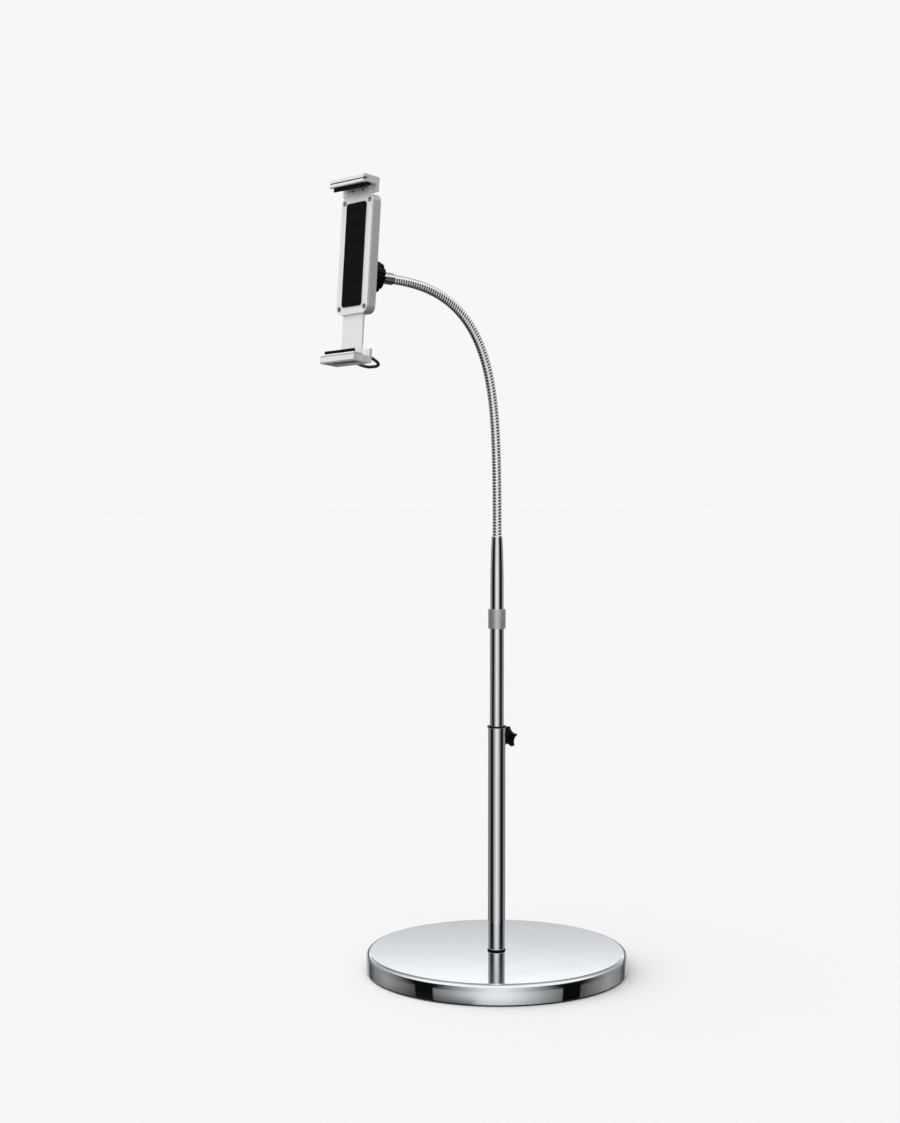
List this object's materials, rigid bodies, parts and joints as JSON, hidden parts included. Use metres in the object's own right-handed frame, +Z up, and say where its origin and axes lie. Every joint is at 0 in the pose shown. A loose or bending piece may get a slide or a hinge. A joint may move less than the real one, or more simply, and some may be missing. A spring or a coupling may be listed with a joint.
{
  "type": "tablet floor stand",
  "caption": "Chrome floor stand with a weighted round base, telescopic pole, ribbed flexible neck and a ball-jointed spring claw holder for a tablet.",
  "frame": {"origin": "on the floor at the centre of the round base", "axes": "+Z up along the pole; the neck bends towards -Y and the holder faces -Y, tilted a little upwards"},
  "size_m": [0.3, 0.397, 0.8885],
  "materials": {
    "chrome": "polished chrome plate",
    "neck_chrome": "polished ribbed chrome",
    "cement": "cast cement",
    "foam": "matte foam sheet",
    "rubber": "matte black rubber",
    "steel": "zinc plated",
    "black_plastic": "fine matte black",
    "nylon": "natural nylon",
    "knurled_alloy": "fine knurl, matte grey",
    "satin_alloy": "satin silver",
    "satin_plastic": "satin silver paint",
    "dark_wire": "dark coated wire"
  },
  "bodies": {
    "base": {"base_cover": "chrome", "base_weight": "cement", "base_pad": "foam", "base_stud": "steel", "stud_washer": "steel", "pole_gasket": "rubber", "lower_tube": "chrome", "tube_insert": "steel", "guide_bush": "black_plastic", "clamp_boss": "chrome"},
    "shoe": {"clamp_shoe": "nylon"},
    "knob": {"star_knob": "black_plastic", "knob_screw": "steel"},
    "inner": {"inner_tube": "chrome", "slider_plug": "black_plastic", "top_insert": "steel"},
    "neck_1": {"neck_ferrule": "chrome", "neck_section_1": "neck_chrome"},
    "collar_ring": {"friction_ring": "nylon"},
    "collar": {"collar_nut": "knurled_alloy"},
    "neck_2": {"neck_section_2": "neck_chrome"},
    "neck_3": {"neck_section_3": "neck_chrome"},
    "neck_4": {"neck_section_4": "neck_chrome"},
    "neck_5": {"neck_section_5": "neck_chrome"},
    "neck_6": {"neck_section_6": "neck_chrome"},
    "neck_7": {"neck_section_7": "neck_chrome", "tip_sleeve": "chrome", "ball_stud": "chrome"},
    "seat": {"ball_seat": "nylon"},
    "socket": {"socket": "black_plastic", "pivot_screw": "steel", "pivot_washer": "steel"},
    "lock_nut": {"lock_nut": "black_plastic"},
    "holder": {"back_shell": "satin_plastic", "main_plate": "satin_alloy", "front_sheet": "rubber", "plate_screws": "steel", "top_post": "steel", "upper_claw": "satin_alloy", "upper_claw_pad": "rubber", "upper_claw_screws": "steel", "clamp_spring": "steel"},
    "clamp": {"lower_arm": "satin_alloy", "lower_claw": "satin_alloy", "lower_claw_pad": "rubber", "lower_claw_screws": "steel", "arm_post": "steel", "pull_handle": "dark_wire"}
  },
  "joints": [
    {"name": "height_slide", "type": "slide", "parent": "base", "child": "inner", "axis": [0, 0, 1], "range_m": [-0.1, 0.08]},
    {"name": "shoe_slide", "type": "slide", "parent": "base", "child": "shoe", "axis": [-0.0523, 0.9986, 0], "range_m": [0, 0.0015]},
    {"name": "knob_turn", "type": "hinge", "parent": "shoe", "child": "knob", "pos_m": [0, 0, 0.269], "axis": [-0.0523, 0.9986, 0], "range_deg": [0, 540]},
    {"name": "neck_swivel", "type": "hinge", "parent": "inner", "child": "neck_1", "pos_m": [0, 0, 0.404], "axis": [0, 0, 1], "continuous": true},
    {"name": "collar_slide", "type": "slide", "parent": "neck_1", "child": "collar_ring", "axis": [0, 0, -1], "range_m": [0, 0.001]},
    {"name": "collar_turn", "type": "hinge", "parent": "collar_ring", "child": "collar", "pos_m": [0, 0, 0.396], "axis": [0, 0, -1], "range_deg": [0, 360]},
    {"name": "neck_bend_1", "type": "hinge", "parent": "neck_1", "child": "neck_2", "pos_m": [0, -0.00039, 0.55628], "axis": [1, 0, 0], "range_deg": [-12, 12]},
    {"name": "neck_side_2", "type": "hinge", "parent": "neck_2", "child": "neck_3", "pos_m": [0, -0.00253, 0.61152], "axis": [0, 0.9976, 0.0694], "range_deg": [-12, 12]},
    {"name": "neck_bend_3", "type": "hinge", "parent": "neck_3", "child": "neck_4", "pos_m": [0, -0.00973, 0.66629], "axis": [1, 0, 0], "range_deg": [-12, 12]},
    {"name": "neck_bend_4", "type": "hinge", "parent": "neck_4", "child": "neck_5", "pos_m": [0, -0.02906, 0.71782], "axis": [1, 0, 0], "range_deg": [-12, 12]},
    {"name": "neck_side_5", "type": "hinge", "parent": "neck_5", "child": "neck_6", "pos_m": [0, -0.06699, 0.75736], "axis": [0, 0.5423, 0.8402], "range_deg": [-12, 12]},
    {"name": "neck_bend_6", "type": "hinge", "parent": "neck_6", "child": "neck_7", "pos_m": [0, -0.11817, 0.77745], "axis": [1, 0, 0], "range_deg": [-12, 12]},
    {"name": "ball_pan", "type": "hinge", "parent": "neck_7", "child": "seat", "pos_m": [0, -0.19304, 0.78446], "axis": [-0.0541, 0.1251, 0.9907], "range_deg": [-22, 22]},
    {"name": "ball_tilt", "type": "hinge", "parent": "seat", "child": "socket", "pos_m": [0, -0.19304, 0.78446], "axis": [0.9985, 0.0068, 0.0537], "range_deg": [-22, 22]},
    {"name": "holder_roll", "type": "hinge", "parent": "socket", "child": "holder", "pos_m": [0, -0.19304, 0.78446], "axis": [0, -0.9921, 0.1253], "continuous": true},
    {"name": "lock_nut_turn", "type": "hinge", "parent": "socket", "child": "lock_nut", "pos_m": [0, -0.19304, 0.78446], "axis": [0, -0.9921, 0.1253], "range_deg": [-90, 0]},
    {"name": "claw_slide", "type": "slide", "parent": "holder", "child": "clamp", "axis": [0.0541, -0.1251, -0.9907], "range_m": [-0.035, 0.045], "stiffness_N_per_m": 300, "springref_m": -0.0018, "deforming": ["clamp_spring"]}
  ],
  "couplings": [
    {"joint": "shoe_slide", "follows": "knob_turn", "m_per_rad": 0.00015915},
    {"joint": "collar_slide", "follows": "collar_turn", "m_per_rad": 0.00015915}
  ]
}
